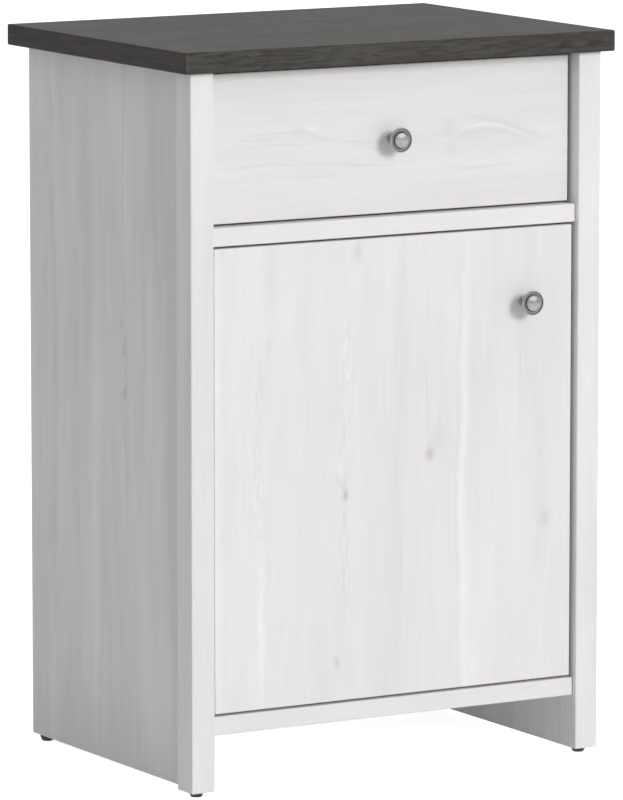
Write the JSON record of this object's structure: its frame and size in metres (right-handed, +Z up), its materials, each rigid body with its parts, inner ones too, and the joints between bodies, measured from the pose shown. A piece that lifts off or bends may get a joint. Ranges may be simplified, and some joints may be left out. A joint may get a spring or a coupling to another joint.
{
  "type": "chest of drawers",
  "caption": "Small bedside chest with a drawer above an inset door, pale wood-grain boards, dark wood-grain top and round knobs",
  "frame": {"origin": "on the floor, under the middle of the cabinet's outline, knobs included", "axes": "+Z up; the front with the drawer and the door faces -Y; +X is to the right of someone facing the front"},
  "size_m": [0.536, 0.4102, 0.8],
  "materials": {
    "pale_larch_board": "whitewashed wood-grain foil, satin",
    "dark_oak_board": "dark wood-grain laminate, low sheen",
    "white_sheet": "thin white-faced hardboard",
    "drawer_board": "smooth white foil",
    "pewter_metal": "satin nickel plate, slightly darkened",
    "zinc_steel": "zinc plate",
    "runner_white": "white epoxy coat",
    "nylon_roller": "moulded nylon",
    "black_plastic": "moulded, scuffed underneath",
    "white_plastic": "moulded",
    "beech_dowel": "plain turned beech"
  },
  "bodies": {
    "carcass": {"top_panel": "dark_oak_board", "left_front_post": "pale_larch_board", "right_front_post": "pale_larch_board", "left_side_panel": "pale_larch_board", "right_side_panel": "pale_larch_board", "bottom_rail": "pale_larch_board", "middle_rail": "pale_larch_board", "left_bottom_rail_dowel": "beech_dowel", "right_bottom_rail_dowel": "beech_dowel", "left_middle_rail_dowel": "beech_dowel", "right_middle_rail_dowel": "beech_dowel", "bottom_board": "pale_larch_board", "middle_board": "pale_larch_board", "left_bottom_board_cam": "zinc_steel", "right_bottom_board_cam": "zinc_steel", "left_middle_board_cam": "zinc_steel", "right_middle_board_cam": "zinc_steel", "left_front_top_cam": "zinc_steel", "right_front_top_cam": "zinc_steel", "left_rear_top_cam": "zinc_steel", "right_rear_top_cam": "zinc_steel", "back_panel": "white_sheet", "left_front_glide": "black_plastic", "right_front_glide": "black_plastic", "left_rear_glide": "black_plastic", "right_rear_glide": "black_plastic", "shelf": "pale_larch_board", "left_front_shelf_pin": "zinc_steel", "right_front_shelf_pin": "zinc_steel", "left_rear_shelf_pin": "zinc_steel", "right_rear_shelf_pin": "zinc_steel", "door_stop": "white_plastic", "left_carcass_runner": "runner_white", "right_carcass_runner": "runner_white", "upper_hinge_arm": "zinc_steel", "lower_hinge_arm": "zinc_steel", "upper_hinge_plate": "zinc_steel", "lower_hinge_plate": "zinc_steel"},
    "drawer": {"drawer_front": "pale_larch_board", "drawer_knob": "pewter_metal", "drawer_knob_screw": "zinc_steel", "drawer_left_side": "drawer_board", "drawer_right_side": "drawer_board", "drawer_back": "drawer_board", "drawer_bottom": "white_sheet", "left_drawer_runner": "runner_white", "right_drawer_runner": "runner_white"},
    "door": {"door_panel": "pale_larch_board", "door_knob": "pewter_metal", "door_knob_screw": "zinc_steel", "upper_hinge_cup": "zinc_steel", "lower_hinge_cup": "zinc_steel", "upper_hinge_pin": "zinc_steel", "lower_hinge_pin": "zinc_steel"},
    "left_front_wheel": {"left_front_roller": "nylon_roller"},
    "right_front_wheel": {"right_front_roller": "nylon_roller"},
    "left_rear_wheel": {"left_rear_roller": "nylon_roller"},
    "right_rear_wheel": {"right_rear_roller": "nylon_roller"}
  },
  "joints": [
    {"name": "drawer_slide", "type": "slide", "parent": "carcass", "child": "drawer", "axis": [0, -1, 0], "range_m": [0, 0.26]},
    {"name": "door_swing", "type": "hinge", "parent": "carcass", "child": "door", "pos_m": [-0.212, -0.16885, 0.3385], "axis": [0, 0, -1], "range_deg": [0, 100]},
    {"name": "left_front_roller_spin", "type": "hinge", "parent": "carcass", "child": "left_front_wheel", "pos_m": [-0.2219, -0.13685, 0.6295], "axis": [1, 0, 0], "continuous": true},
    {"name": "right_front_roller_spin", "type": "hinge", "parent": "carcass", "child": "right_front_wheel", "pos_m": [0.2219, -0.13685, 0.6295], "axis": [1, 0, 0], "continuous": true},
    {"name": "left_rear_roller_spin", "type": "hinge", "parent": "drawer", "child": "left_rear_wheel", "pos_m": [-0.2219, 0.17215, 0.6295], "axis": [1, 0, 0], "continuous": true},
    {"name": "right_rear_roller_spin", "type": "hinge", "parent": "drawer", "child": "right_rear_wheel", "pos_m": [0.2219, 0.17215, 0.6295], "axis": [1, 0, 0], "continuous": true}
  ],
  "couplings": [
    {"joint": "left_front_roller_spin", "follows": "drawer_slide", "rad_per_m": 111.11},
    {"joint": "right_front_roller_spin", "follows": "drawer_slide", "rad_per_m": 111.11},
    {"joint": "left_rear_roller_spin", "follows": "drawer_slide", "rad_per_m": 111.11},
    {"joint": "right_rear_roller_spin", "follows": "drawer_slide", "rad_per_m": 111.11}
  ]
}
